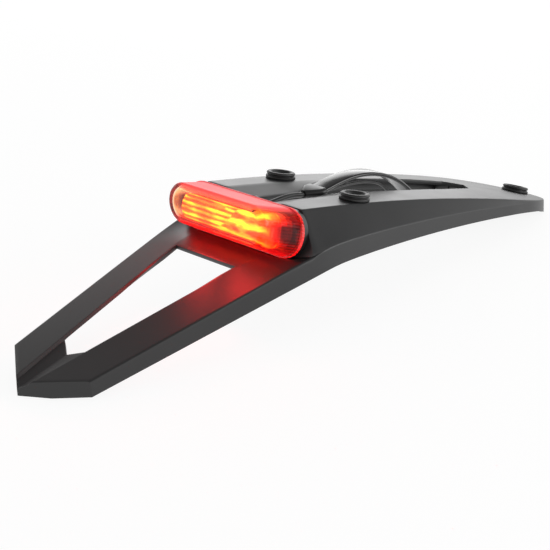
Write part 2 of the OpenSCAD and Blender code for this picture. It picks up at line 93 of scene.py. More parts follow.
def joined(bars):
    """Points and faces of several closed tubes as one piece, where each tube counts on from the last."""
    points, faces, count = [], [], 0
    for rings in bars:
        faces += [[k + count for k in f] for f in capped(rings)]
        points.append(rings.reshape(-1, 3))
        count += len(points[-1])
    return np.concatenate(points), faces


def make_mesh(name, points, faces):
    """A mesh of points in millimetres, which Blender keeps in metres."""
    mesh = bpy.data.meshes.new(name)
    mesh.from_pydata((np.asarray(points) * MM).reshape(-1, 3).tolist(), [], [list(f) for f in faces])
    return mesh


def add_object(name, data):
    """An object in the scene that shows data."""
    made = bpy.data.objects.new(name, data)
    bpy.context.scene.collection.objects.link(made)
    return made


def add_piece(name, points, faces, material, slot, replaces=(), closed=True):
    """Makes a smooth mesh piece, rides it on the body and hides the CAD nodes that it replaces; slot is not
    used.
    A closed piece gets all its normals turned outwards."""
    mesh = make_mesh(name, points, faces)
    mesh.validate()
    if closed:
        work = bmesh.new()
        work.from_mesh(mesh)
        bmesh.ops.recalc_face_normals(work, faces=work.faces)
        work.to_mesh(mesh)
        work.free()
    mesh.update()
    mesh.polygons.foreach_set("use_smooth", np.ones(len(mesh.polygons), bool))
    piece = add_object(name, mesh)
    mesh.materials.append(material)
    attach(piece, "root")
    if replaces:
        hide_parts(*replaces)
    return piece


# %% [markdown]
# ## Shader maths
# A finish is a formula, so a small class lets a material's values be written as Python expressions.
# Everything else in a material comes from one method that makes a node from its type and its inputs.

# %% Shader helper
class Value:
    """A number in a node tree; each operator adds the Math node that works it out."""

    def __init__(self, nodes, socket):
        self.nodes = nodes
        self.socket = socket

    def __add__(self, other):
        return self.nodes.math("ADD", self, other)

    def __sub__(self, other):
        return self.nodes.math("SUBTRACT", self, other)

    def __rsub__(self, other):
        return self.nodes.math("SUBTRACT", other, self)

    def __mul__(self, other):
        return self.nodes.math("MULTIPLY", self, other)

    __radd__, __rmul__ = __add__, __mul__


class Nodes:
    """A node tree, of a material or of the world."""

    def __init__(self, tree):
        self.tree = tree

    def node(self, kind, settings, inputs):
        """Makes a node of a kind. Each input is a number to set or a Value to link."""
        made = self.tree.nodes.new(kind)
        for key, value in settings.items():
            setattr(made, key, value)
        for key, value in inputs.items():
            if isinstance(value, Value):
                self.tree.links.new(value.socket, made.inputs[key])
            else:
                made.inputs[key].default_value = value
        return made

    def result(self, kind, settings, inputs, output=0):
        """Makes a node and gives one of its outputs."""
        return Value(self, self.node(kind, settings, inputs).outputs[output])

    def math(self, operation, *values):
        """The result of a Math node."""
        return self.result("ShaderNodeMath", {"operation": operation}, dict(enumerate(values)))

    def smooth(self, value, low, high, start=0.0, end=1.0):
        """Start where value is under low, end where it is over high, and a smooth step between them."""
        inputs = {0: value, 1: low, 2: high, 3: start, 4: end}
        return self.result("ShaderNodeMapRange", {"interpolation_type": "SMOOTHSTEP"}, inputs)

    def band(self, value, low, high, fall, end):
        """Rises from 0 to 1 between low and high, and goes back to 0 between fall and end."""
        return self.smooth(value, low, high) * (1 - self.smooth(value, fall, end))


def colour(c):
    """A colour as a node input: a Value as it is, or red, green and blue with an alpha of 1."""
    return c if isinstance(c, Value) else (*c, 1.0)


class Shader(Nodes):
    """One material round a Principled shader whose fixed sockets are set by name."""

    def __init__(self, name, **fixed):
        self.material = bpy.data.materials.new(name)
        self.material.use_nodes = True
        super().__init__(self.material.node_tree)
        self.tree.nodes.clear()
        sockets = {key.replace("_", " "): value for key, value in fixed.items()}
        self.bsdf = self.node("ShaderNodeBsdfPrincipled", {}, sockets)
        self.out = self.node("ShaderNodeOutputMaterial", {}, {0: Value(self, self.bsdf.outputs[0])})

    def place(self):
        """The point's own coordinates in metres, as one vector."""
        return self.result("ShaderNodeTexCoord", {}, {}, "Object")

    def axes(self):
        """The point's x, y and z in millimetres."""
        made = self.node("ShaderNodeSeparateXYZ", {}, {0: self.place()})
        return [Value(self, output) * 1000 for output in made.outputs]

    def noise(self, size, detail=2.0, stretch=(1, 1, 1)):
        """Noise whose blobs are size millimetres wide."""
        scale = [s * 1000 / size for s in stretch]
        where = self.result("ShaderNodeMapping", {}, {0: self.place(), 3: scale})
        return self.result("ShaderNodeTexNoise", {}, {"Vector": where, "Scale": 1.0, "Detail": detail})

    def mix(self, factor, a, b):
        """Colour a where factor is 0 and b where it is 1."""
        inputs = {0: factor, 6: colour(a), 7: colour(b)}
        return self.result("ShaderNodeMix", {"data_type": "RGBA"}, inputs, 2)

    def set(self, **sockets):
        """Links Values to the Principled shader's sockets, written with _ for a space."""
        for key, value in sockets.items():
            self.tree.links.new(value.socket, self.bsdf.inputs[key.replace("_", " ")])
        return self

    def bump(self, height, depth, strength=1.0):
        """Height 0 to 1 as a relief of depth millimetres."""
        inputs = {"Height": height, "Distance": depth * MM, "Strength": strength}
        return self.set(Normal=self.result("ShaderNodeBump", {}, inputs))


def mottled(name, noise, dark, light, rough, spread, **fixed):
    """A finish with noise in it: dark to light, and rough to rough + spread. Gives it and its noise."""
    shader = Shader(name, **fixed)
    patch = shader.noise(*noise)
    shader.set(Base_Color=shader.mix(patch, dark, light), Roughness=rough + spread * patch)
    return shader, patch


# %% [markdown]
# ## Plastic and rubber
# The moulding is black polypropylene from a spark-eroded tool: dull, with a fine leathery grain that is
# only a few hundredths of a millimetre deep. The rubber, the satin plastic and the glossy sleeve are
# nearly the same black and differ in their sheen.

# %% Black plastics and rubber
moulded, _ = mottled("moulded_black", (28, 3), (0.015, 0.015, 0.0155), (0.022, 0.022, 0.0225), 0.33, 0.1,
                     Specular_IOR_Level=0.5)
moulded.bump(moulded.noise(0.55, 3), 0.03, 0.15)

rubber, _ = mottled("grommet_rubber", (6, 3), (0.010, 0.010, 0.010), (0.018, 0.018, 0.018), 0.38, 0.15,
                    Specular_IOR_Level=0.5)
rubber.bump(rubber.noise(0.8), 0.03, 0.4)

satin, _ = mottled("satin_black", (9, 3), (0.011, 0.011, 0.011), (0.02, 0.02, 0.02), 0.28, 0.16,
                   Specular_IOR_Level=0.5)
satin.bump(satin.noise(0.9), 0.02, 0.4)

glossy, wave = mottled("glossy_sleeve", (7, 2, (0.5, 1, 1)), (0.006, 0.006, 0.006), (0.012, 0.012, 0.012),
                       0.12, 0.14, Specular_IOR_Level=0.6)
glossy.bump(wave, 0.12, 0.5)
print("plastics made:", [s.material.name for s in (moulded, rubber, satin, glossy)])

# %% [markdown]
# ## The lead
# The round lead leaves the lamp through a rubber ring, runs into a moulded boot, and goes on as a flat
# glossy sleeve that arches over the deck and dives through the opening. A thin earth wire keeps below
# it, and both end in a connector under the deck. Each route is the CAD source's own row of points.

# %% Routes
LAMP_TILT = math.radians(16.5)
SEAT = (-43.7, 67.401)
LEAD_V, LEAD_D = -6.2, 3.2


def lamp_xz(s, v):
    """Point [x, z] that lies s out of the lamp seat and v along it from the deck's edge."""
    return [SEAT[0] - s * math.cos(LAMP_TILT) + v * math.sin(LAMP_TILT),
            SEAT[1] + s * math.sin(LAMP_TILT) + v * math.cos(LAMP_TILT)]


ROUTES = {
    "lamp_lead": [lamp_xz(s, LEAD_V) for s in (1.5, -2, -5, -8)] + [
        [-33.5, 59.2], [-28, 59.4], [-22, 59.7], [-16, 59.7], [-10, 59], [-5.5, 58.1], [-2.2, 57.8]],
    "flat_sleeve": [[8.1, 58.3], [13, 59], [18, 59.8], [24, 60.5], [31, 60.9], [38, 60.7], [45, 59.9],
                    [52, 58.4], [59, 56.2], [66, 53.3], [72, 50], [78, 45.8], [83.5, 41], [88.5, 35.6],
                    [93, 30.6]],
    "thin_wire": [[8.1, 56.9], [14, 56.9], [20, 56.8], [26, 56.7], [32, 56.3], [38, 55.7], [44, 54.8],
                  [50, 53.4], [55, 51.8], [59, 49.9], [63, 47], [66.5, 43.2], [69.5, 38.5], [73, 34.2],
                  [78, 31.2], [85, 29.4], [93, 28.9], [102, 28.9], [112, 28.5], [122, 27.3],
                  [132, 25.1], [139, 23.2], [145.4, 21.4]],
    "lead_tail": [[93.2, 30.4], [96.5, 27.9], [101, 26.3], [107, 25.8], [114, 25.6], [121, 25],
                  [128, 23.8], [137, 21.6], [145, 19.5]],
}
print("points on each route:", {name: len(points) for name, points in ROUTES.items()})

# %% [markdown]
# An oval is carried along each route. The route is first made smooth, with five steps between one point
# and the next.

# %% Cords
CURVE_STEPS = 5


def curve(points, steps=CURVE_STEPS):
    """Smooth curve through points: between b and c, with neighbours a and d, half of
    2b + (c - a)t + (2a - 5b + 4c - d)t^2 + (3b - a - 3c + d)t^3, for t from 0 to 1."""
    p = np.array(points, float)
    q = np.vstack([p[0], p, p[-1]])
    t = (np.arange(steps) / steps)[None, :, None]
    a, b, c, d = (q[i:i + len(p) - 1, None, :] for i in range(4))
    run = 0.5 * (2 * b + (c - a) * t + (2 * a - 5 * b + 4 * c - d) * t**2 + (3 * b - a - 3 * c + d) * t**3)
    return np.vstack([run.reshape(-1, p.shape[1]), p[-1]])


def sweep(line, y, width, thickness, sides=24):
    """An oval of width by thickness carried along line, a curve [x, z] in the plane Y = y: each ring is
    the line's point plus its normal times the oval's height, with the oval's width along Y."""
    run = np.gradient(line, axis=0)
    run /= np.linalg.norm(run, axis=1)[:, None]
    angle = np.arange(sides) * 2 * math.pi / sides
    straight = np.sign(np.round(np.cos(angle), 9)) * (width - thickness) / 2
    across = straight + np.cos(angle) * thickness / 2
    up = np.sin(angle) * thickness / 2
    x = line[:, :1] - run[:, 1:] * up
    z = line[:, 1:] + run[:, :1] * up
    return np.stack([x, np.broadcast_to(y + across, x.shape), z], -1)


# name, y, width, thickness, finish, slot, far end, stiffness, pieces carried
CORDS = [("lamp_lead", 0, LEAD_D, LEAD_D, satin, "lead", "fitting", "medium", ["lead_boot"]),
         ("flat_sleeve", 0, 13, 2.6, glossy, "sleeve", "bare", "stiff", []),
         ("thin_wire", -3, 1.8, 1.8, satin, "wire", "connector", "medium", ["lead_clip"]),
         ("lead_tail", 0, LEAD_D, LEAD_D, satin, "lead", "connector", "medium",
          ["lead_connector", "connector_cap"])]
for name, y, width, thickness, finish, slot, _, _, _ in CORDS:
    rings = sweep(curve(ROUTES[name]), y, width, thickness)
    add_piece(name + "_skin", rings, capped(rings), finish.material, slot, replaces=[name])

# %% [markdown]
# ## The moulding as one sheet
# The moulding is one thin shell, so it is drawn as a single sheet and thickened afterwards. Every row of
# the sheet is a cross-section at some X, and every column runs the whole length: up the skirt, round the
# crease, over the side wall and the deck's edge, and on to the opening or the middle. The curves are the
# ones in the CAD source, so the sheet lies on the solid.

# %% Curves along the length
TAIL_END, WINDOW_REAR, WINDOW_FRONT = -212.0, -180.0, -82.0
NOSE_START, NOSE_END = 140.0, 212.0
DECK_W = 39.5
NOSE_POWER = 2.3
DISH_X = [-52.7, -33.7, -6, 12, 30]
DISH_W = [25, 23, 21, 19.5, 18]
DISH_DEPTH = [4.2, 4.2, 4.2, 2.5, 0]
CHANNEL_W = 6


def soft_min(a, b, k):
    """The lower of two curves, joined by a bend of size k: (a + b) / 2 - sqrt(((a - b) / 2)^2 + k^2)."""
    return (a + b) / 2 - np.sqrt(((a - b) / 2)**2 + k * k)


def deck_z(x):
    """Height of the deck: 60 - 0.184 x - 0.000335 x^2."""
    return 60 - 0.184 * x - 0.000335 * x * x


def crown(x):
    """Rise of the deck's middle, faded in behind and out ahead."""
    return 1.8 * np.clip((x + 43.7) / 70, 0, 1) * np.clip((195 - x) / 60, 0, 1)


def side_z(x):
    """Height of the side crease: the tail's straight rise, or the deck less a drop that fades forward."""
    return np.minimum(deck_z(x) - 0.9,
                      soft_min(11.6 + 0.245 * (x + 190), deck_z(x) - 14.5 + 14.5 * x / 193, 1.8))


def side_w(x):
    """Half width at the side crease: the tail's flare, or the body's taper, which stops at 39.9."""
    w = soft_min(34 + 0.155 * (x + 190), 53.6 - 14.1 * x / 165, 1.2)
    return np.where(x > 0, np.maximum(39.9, w), w)


def hem_z(x):
    """Height of the hem: the crease less the skirt."""
    skirt = np.maximum(6.2, soft_min(12.4 + 0.024 * (x + 45.7), 6.2 + 6.2 * (150 - x) / 190, 0.3))
    return np.maximum(0, side_z(x) - skirt - 2.3 * (np.maximum(0, x - 165) / 38)**2)


def tail_top(x):
    """Height of the tail frame's inner edge: the crease, a slow rise, and a dip towards the lamp."""
    return side_z(x) + 1.6 + 0.018 * (x + 165) - 6.6 * np.clip((x + 82) / 26, 0, 1.2)**2


def plan(x):
    """Share of the full width that is left in the rounded nose: (1 - t^2.3)^(1 / 2.3)."""
    t = np.clip((x - NOSE_START) / (NOSE_END - NOSE_START), 0, 1)
    return (1 - t**NOSE_POWER)**(1 / NOSE_POWER)


def slot_w(x):
    """Half width of the deck's opening: channel, wide middle, blunt point."""
    return np.interp(x, [-60, -2, 32, 66, 104, 136, 144.5, 220], [6, 6, 18, 18, 16, 11.5, 0, 0])


def window_w(x):
    """Half width of the tail window: 10.9 at X = -173 and 25.5 at X = -82, on a straight line."""
    return 10.9 + 14.6 * (x + 173) / 91


def trough(x, y):
    """Depth of the dish beside the lead's channel, 0 at its crest."""
    w = np.interp(x, DISH_X, DISH_W)
    return np.interp(x, DISH_X, DISH_DEPTH) * np.clip((w - y) / (w - CHANNEL_W), 0, 1)


for x in (WINDOW_REAR, 0.0, NOSE_START):
    print("x", x, "hem", round(float(hem_z(x)), 1), "crease", round(float(side_z(x)), 1), "deck", deck_z(x))

# %% [markdown]
# ## Sections
# A crease isn't a sharp line on a moulding, so each corner of the section is a short parabola that leaves
# one wall and meets the next. Columns are shared out so that these corners get as many points as the
# broad faces.

# %% Section points
SKIRT, CREASE, WALL, EDGE, TOP, RIM, INNER = range(7)
STARTS = np.cumsum([0, 4, 7, 12, 7, 16, 8, 12])
COLUMNS = int(STARTS[-1])
CORNER_R = 1.6


def corner(a, b, c, t):
    """Point at t on the parabola from p to q that rounds corner b of the line a, b, c:
    (1 - t)^2 p + 2 t (1 - t) b + t^2 q, where p and q lie on the two walls at the same distance from b."""
    to_a, to_c = a - b, c - b
    long_a, long_c = (np.linalg.norm(v, axis=-1, keepdims=True) for v in (to_a, to_c))
    to_a, to_c = to_a / np.maximum(long_a, 1e-6), to_c / np.maximum(long_c, 1e-6)
    half = np.arccos(np.clip((to_a * to_c).sum(-1, keepdims=True), -0.9999, 0.9999)) / 2
    reach = np.minimum(CORNER_R / np.tan(half), 0.45 * np.minimum(long_a, long_c))
    return (1 - t)**2 * (b + to_a * reach) + 2 * t * (1 - t) * b + t * t * (b + to_c * reach)


def ramp(first, last):
    """0 to 1 from column first to column last, held at 0 before it and at 1 after it."""
    return np.clip((np.arange(COLUMNS) - first) / (last - first), 0, 1)[:, None]


def share(group):
    """The ramp over the columns of one group."""
    return ramp(STARTS[group], STARTS[group + 1] - 1)


def pick(parts):
    """Joins the groups: column j takes the part that its group names."""
    out = np.array(parts[0])
    for k in range(1, len(parts)):
        out[:, STARTS[k]:STARTS[k + 1]] = parts[k][:, STARTS[k]:STARTS[k + 1]]
    return out


def pair(y, z):
    """Points [y, z] of two arrays, or of an array and a number."""
    return np.stack(np.broadcast_arrays(y, z), -1)


def lerp(a, b, t):
    """What lies at share t of the way from a to b: a + (b - a) t."""
    return a + (b - a) * t


def tail_section(x):
    """Points [y, z] of the tail frame at x, an array of rows by columns."""
    w, i, top = side_w(x), window_w(x), tail_top(x)
    step = 1.8 * np.clip((-92 - x) / 36, 0, 1)
    hem, side, high = pair(w + 0.4, hem_z(x)), pair(w, side_z(x)), pair(i + 1.2, top)
    low, mid = pair(i, top - step), pair(0 * i, top - 1.6 * step)
    across = lerp(corner(hem, side, high, 1), high, ramp(STARTS[WALL] - 1, STARTS[RIM] - 1))
    return pick([lerp(hem, corner(hem, side, high, 0), share(SKIRT)), corner(hem, side, high, share(CREASE)),
                 across, across, across, lerp(high, low, share(RIM)), lerp(low, mid, share(INNER))])


def deck_section(x):
    """Points [y, z] of the deck part at x, an array of rows by columns."""
    s = plan(x)
    w, d = np.maximum(0.6, side_w(x) * s), np.maximum(0.4, DECK_W * s)
    d = np.minimum(d, w - 0.15)
    rise = crown(x) * s
    hem, side = pair(w + 0.4 * s, hem_z(x)), pair(w, side_z(x))
    edge, mid = pair(d, deck_z(x)), pair(0 * x, deck_z(x) + rise)
    brow = corner(side, edge, mid, 1)
    hole_w = np.minimum(slot_w(x), 0.6 * d)
    crest_w = np.maximum(np.interp(x, DISH_X + [31], DISH_W + [0]), hole_w + 1.5)
    crest, hole = pair(np.minimum(crest_w, 0.85 * d), 0), pair(hole_w, 0)
    y = pick([lerp(brow, crest, share(TOP))] * RIM
             + [lerp(crest, hole, share(RIM)), lerp(hole, 0 * hole, share(INNER))])[..., 0]
    top = pair(y, deck_z(x) + rise * (1 - y / d) - trough(x, y))
    wall = lerp(corner(hem, side, edge, 1), corner(side, edge, mid, 0), share(WALL))
    return pick([lerp(hem, corner(hem, side, edge, 0), share(SKIRT)), corner(hem, side, edge, share(CREASE)),
                 wall, corner(side, edge, mid, share(EDGE)), top, top, top])


print("columns in each group:", np.diff(STARTS))

# %% [markdown]
# ## Rows of the sheet
# Rows run from the tail point to the nose. The tail's end and the rear of its window are swept, so there
# X grows with Y. The lamp seat is a tilted plane: the last tail row and the first deck row both lie on it,
# and the seat's own rows are straight lines between them.

# %% Sheet rows
SWEEP = 0.65
DECK_START, POINT_START, POINT_END, NOSE_RUN = -30.0, 132.0, 146.0, 65.9
NOSE_TIP = 0.1


def rows_at(section, x):
    """Points [x, y, z] of a section at x, an array of rows by columns."""
    return np.concatenate([x[..., None], section(x)], -1)


def solid_rows(section, place, rounds=6):
    """Rows whose X depends on the point: place(y, z) gives X, and the section is worked out again."""
    x = place(np.full(COLUMNS, 30.0), np.full(COLUMNS, 40.0))
    for _ in range(rounds):
        yz = section(x)
        x = place(yz[..., 0], yz[..., 1])
    return rows_at(section, x)


def on_seat(z):
    """X of the lamp seat's plane at height z."""
    return SEAT[0] + (z - SEAT[1]) * math.tan(LAMP_TILT)


stations = np.concatenate([np.linspace(TAIL_END, WINDOW_REAR, 13),
                           np.linspace(WINDOW_REAR, WINDOW_FRONT, 45)[1:]])[:, None]
fade = np.clip((WINDOW_FRONT - stations) / (WINDOW_FRONT - WINDOW_REAR), 0, 1)
tail = solid_rows(tail_section, lambda y, z: stations + SWEEP * y * fade)
neck_share = np.linspace(0, 1, 16)[1:, None]
neck = solid_rows(tail_section, lambda y, z: lerp(WINDOW_FRONT, on_seat(z), neck_share))
rear = solid_rows(deck_section, lambda y, z: np.atleast_2d(on_seat(z)))
rear[:, :STARTS[WALL]] = neck[-1, :STARTS[WALL]]
start_share = np.linspace(0, 1, 6)[1:, None]
start = solid_rows(deck_section, lambda y, z: on_seat(z) * (1 - start_share) + DECK_START * start_share)
nose_angle = np.linspace(0, math.pi / 2, 22)
xs = np.concatenate([np.linspace(DECK_START, POINT_START, 60)[1:],
                     np.linspace(POINT_START, POINT_END, 21)[1:],
                     POINT_END + NOSE_RUN * np.sin(nose_angle)[1:]])
body = rows_at(deck_section, xs[:, None] + np.zeros(COLUMNS))
tip = body[-1:] * [1, 0, 1] + [NOSE_TIP, 0, 0]
seat_share = np.linspace(0, 1, 12)[1:-1, None, None]
seat = neck[-1] * (1 - seat_share) + rear[0] * seat_share
foot_y = np.minimum(tail[0, :, 1], side_w(tail[0, 0, 0]) + 0.4)
foot_x = TAIL_END + SWEEP * foot_y
foot = np.stack([foot_x, foot_y, hem_z(foot_x)], -1)
end_share = np.linspace(0, 1, 7)[:-1, None, None]
end_wall = foot * (1 - end_share) + tail[0] * end_share
half = np.concatenate([end_wall, tail, neck, seat, rear, start, body, tip])
beside_window = (stations[:, 0] > WINDOW_REAR + 0.01) & (stations[:, 0] < WINDOW_FRONT)
closed = np.concatenate([np.full(len(end_wall), True), ~beside_window,
                         np.full(len(neck) + len(seat) + len(rear), True),
                         np.full(len(start) + len(body) + len(tip), False)])
print("sheet rows and columns:", half.shape[:2])

# %% [markdown]
# ## From sheet to shell
# The left half is mirrored, doubled points are merged and faces without area are dropped. Solidify gives
# the wall, Boolean cutters take out the three grommet holes, and Bevel breaks the edges. The result is
# applied, so that the kept mesh is final.

# %% Tools for the shell
BEVEL_OVER = 50


def modify(piece, kind, **settings):
    """Adds a modifier of a kind to a piece and sets it."""
    modifier = piece.modifiers.new(kind.lower(), kind)
    for key, value in settings.items():
        setattr(modifier, key, value)


def settle(piece, cutters=(), thickness=0.0, bevel=0.0, angle=35, merge=0.02):
    """Merges doubles, thickens inwards, cuts, bevels, applies all, and marks edges sharper than angle."""
    mesh = bmesh.new()
    mesh.from_mesh(piece.data)
    bmesh.ops.remove_doubles(mesh, verts=mesh.verts, dist=merge * MM)
    bmesh.ops.dissolve_degenerate(mesh, edges=mesh.edges, dist=merge * MM)
    mesh.to_mesh(piece.data)
    mesh.free()
    if thickness:
        modify(piece, "SOLIDIFY", thickness=thickness * MM, offset=-1)
    for tool in cutters:
        modify(piece, "BOOLEAN", object=tool, operation="DIFFERENCE", solver="MANIFOLD")
    if bevel:
        modify(piece, "BEVEL", width=bevel * MM, segments=2, limit_method="ANGLE",
               angle_limit=math.radians(BEVEL_OVER))
    made = bpy.data.meshes.new_from_object(piece.evaluated_get(bpy.context.evaluated_depsgraph_get()))
    piece.modifiers.clear()
    old, piece.data = piece.data, made
    bpy.data.meshes.remove(old)
    made.polygons.foreach_set("use_smooth", np.ones(len(made.polygons), bool))
    made.set_sharp_from_angle(angle=math.radians(angle))
    for tool in cutters:
        bpy.data.objects.remove(tool)
    return piece


def cutter(points, faces):
    """A body that is taken out of the shell and then removed."""
    return add_object("cutter", make_mesh("cutter", points, faces))


def in_lamp(s, y, v):
    """Points from lamp coordinates: s out of the seat, y across, v along the seat from the deck's edge."""
    x, z = lamp_xz(s, v)
    return np.stack(np.broadcast_arrays(x, y, z), -1)


def on_deck(x, y, r, angle, h):
    """Points h above the deck at x, y, on a circle of radius r square to the deck."""
    slope = math.atan(0.184 + 0.00067 * x)
    z = deck_z(x) + crown(x) * (1 - abs(y) / DECK_W)
    a, b = r * np.cos(angle), r * np.sin(angle)
    return np.stack(np.broadcast_arrays(x + a * math.cos(slope) + h * math.sin(slope), y + b,
                                        z - a * math.sin(slope) + h * math.cos(slope)), -1)


# %% [markdown]
# Beside the tail window and along the deck the innermost group of columns is left out. There the sheet
# ends at the rim of the window or of the opening, and ahead of the opening that rim lies on the middle.
#
# Known fault: the last cutter is a box for the lead's notch in the lamp seat, and its faces are wound
# inwards, so it cuts nothing. The seat stays whole there, the lead and its rubber ring run through the
# plate, and the block of plate inside the box is in the mesh twice.

# %% Make the shell
MOUNTS = [(7.0, 31.2), (7.0, -31.2), (200.0, 0.0)]
HOLE_R, WALL_T = 7.0, 2.6
BOX_FACES = [(0, 1, 2, 3), (7, 6, 5, 4), (0, 4, 5, 1), (1, 5, 6, 2), (2, 6, 7, 3), (3, 7, 4, 0)]
faces = grid_faces(len(half), COLUMNS)
row, column = faces[:, 0] // COLUMNS, faces[:, 0] % COLUMNS
left = faces[(column < STARTS[INNER] - 1) | (closed[row] & closed[row + 1])]
right = left[:, ::-1] + len(half) * COLUMNS
mirror = half * [1, -1, 1]
moulding = add_piece("fender_shell", np.concatenate([half.reshape(-1, 3), mirror.reshape(-1, 3)]),
                     np.concatenate([left, right]), moulded.material, "moulding",
                     replaces=["fender_moulding"], closed=False)
circle = np.arange(64) * 2 * math.pi / 64
holes = []
for x, y in MOUNTS:
    rings = np.stack([on_deck(x, y, HOLE_R, circle, h) for h in (-16, 8)])
    holes.append(cutter(rings, capped(rings)))
notch = [(-6, -12.2), (6, -12.2), (6, 26), (-6, 26)]
holes.append(cutter([in_lamp(s, y, v) for s in (1, -14) for y, v in notch], BOX_FACES))
settle(moulding, holes, thickness=WALL_T, bevel=0.35, merge=0.004)
uses = np.zeros(len(moulding.data.loops), np.int32)
moulding.data.loops.foreach_get("edge_index", uses)
print("moulding:", len(moulding.data.polygons), "faces, open edges:", int((np.bincount(uses) != 2).sum()))

# %% [markdown]
# ## Ribs underneath
# Thin ribs stiffen the shell from below: one along each side of the opening, short ones out to the sides,
# and one along each tail beam. Each is a strip that hangs from the middle of the wall, so its top is
# buried in the sheet and its lower edge keeps the same distance from the surface above it.

# %% Ribs under the shell
DEEP, MIDDLING, SHALLOW = 6.2, 5.0, 4.2
LONG_RIB_Y, SIDE_RIB_Y, RIB_END = 22, 37.5, 140


def under(x, y):
    """Height of the middle of the wall over x, y: the deck ahead of the seat, the tail's slope behind it."""
    y = np.abs(y)
    deck = deck_z(x) + crown(x) * (1 - y / DECK_W) - trough(x, y)
    w, i = side_w(x), window_w(x) + 1.2
    slope = side_z(x) + (tail_top(x) - side_z(x)) * np.clip((w - y) / (w - i), 0, 1)
    return np.where(x > SEAT[0], deck, slope) - 1.6


def strip(a, b, depth, half_width=0.84, steps=24):
    """Rings of a strip from a to b in the plan: four corners, half a width to each side, depth tall."""
    a, b = np.array(a, float), np.array(b, float)
    line = a + (b - a) * np.linspace(0, 1, steps)[:, None]
    side = np.array([a[1] - b[1], b[0] - a[0]]) / np.linalg.norm(b - a) * half_width
    z = under(line[:, 0], line[:, 1])
    corners = ((1, 0), (-1, 0), (-1, depth), (1, depth))
    return np.stack([np.column_stack([line + side * k, z - d]) for k, d in corners], 1)


runs = []
for k in (-1, 1):
    runs += [strip((-38, LONG_RIB_Y * k), (RIB_END, LONG_RIB_Y * k), DEEP),
             strip((RIB_END, 9 * k), (RIB_END, SIDE_RIB_Y * k), DEEP),
             strip((-164, 19.9 * k), (-84, 33.5 * k), SHALLOW)]
    runs += [strip((x, LONG_RIB_Y * k), (x, SIDE_RIB_Y * k), DEEP) for x in (24, 60, 96)]
runs.append(strip((172, -27), (172, 27), MIDDLING))
runs += [strip((x, -38), (x, 38), SHALLOW) for x in (-76, -64)]
ribs_below = add_piece("shell_ribs", *joined(runs), moulded.material, "moulding")
settle(ribs_below, bevel=0.25)
print("ribs:", len(runs))

# %% [markdown]
# ## The lamp's lens
# The lens is a closed cup of red acrylic, two millimetres thick. Its outline is an oval bar, its walls draw
# in towards a front face that leans back, and the edge between them is a quarter round. The inside is the
# same cup shrunk by the wall. Both are rings that run on from one to the other, over the foot's flange.

# %% Lens cup
LENS_FRONT, LENS_EDGE, LENS_LEAN, LENS_WALL = 28, 3.2, 0.2, 2
FOOT_W, FACE_W = 48.5, 41
FOOT_H, FACE_H = 28, 24
LENS_DROP = 0.3
LAMP_MIDDLE = 14


def lamp_ring(s, half_w, h, v, lean=0.0, points=128):
    """Oval ring at depth s: half circles of radius h / 2 joined by straight runs, with its top at v. Lean
    moves a point out by lean times its height over the lamp's middle."""
    angle = np.arange(points) * 2 * math.pi / points
    r = h / 2
    y = np.where(np.cos(angle) >= 0, 1, -1) * (half_w - r) + r * np.cos(angle)
    up = v - r + r * np.sin(angle)
    return in_lamp(s + lean * (up + LAMP_MIDDLE), y, up)


def cup(shrink, foot):
    """Rings of the shrunk lens: its wall from the foot, its rounded edge, and its front to the middle."""
    front = LENS_FRONT - shrink
    rings = []
    for k in np.linspace(0, 1, 12)[:-1]:
        rings.append((foot + (front - LENS_EDGE - foot) * k, FOOT_W - shrink - (FOOT_W - FACE_W) * k,
                      FOOT_H - 2 * shrink - (FOOT_H - FACE_H) * k, -shrink - LENS_DROP * k, LENS_LEAN * k))
    for a in np.linspace(0, math.pi / 2, 9):
        cut = LENS_EDGE * (1 - math.cos(a))
        rings.append((front - LENS_EDGE * (1 - math.sin(a)), FACE_W - shrink - cut,
                      FACE_H - 2 * shrink - 2 * cut, -shrink - cut - LENS_DROP, LENS_LEAN))
    _, last_w, last_h, last_v, _ = rings[-1]
    for k in np.linspace(0, last_h / 2 - 0.05, 8)[1:]:
        rings.append((front, last_w - k, last_h - 2 * k, last_v - k, LENS_LEAN))
    return [lamp_ring(*r) for r in rings]


flange = [lamp_ring(*r) for r in ((6.8, 48, 27.4, -0.3), (6.8, 49.9, 28.4, 0.2), (6.6, 50, 28.6, 0.3),
                                  (5, 50, 28.6, 0.3))]
outside = cup(0, 5)[1:]
inside = cup(LENS_WALL, 5)
lens_rings = np.stack(inside[::-1] + flange[::-1] + outside)
print("lens rings and points:", lens_rings.shape[:2])

# %% [markdown]
# The lit lens has no one colour. Its front lets amber through from the middle, its walls and lower edge
# are a saturated red that glows by itself, and each end wall is fluted, so there the red comes in fine
# lines. In the middle of each end wall a patch of painted shade, in its glow and its tint, stands in for
# the dark inside that shows through.

# %% Lens material
FLUTE_PITCH = 1.7


def lamp_axes(shader):
    """Lamp coordinates of the shaded point: s out of the seat, y across, v along the seat."""
    x, y, z = shader.axes()
    dx, dz = x - SEAT[0], z - SEAT[1]
    sin, cos = math.sin(LAMP_TILT), math.cos(LAMP_TILT)
    return dz * sin - dx * cos, y, dx * sin + dz * cos


def wave_of(shader, value, pitch):
    """Goes from 0 to 1 and back once in each pitch: (sin(2 pi value / pitch) + 1) / 2."""
    return shader.math("SINE", value * (2 * math.pi / pitch)) * 0.5 + 0.5


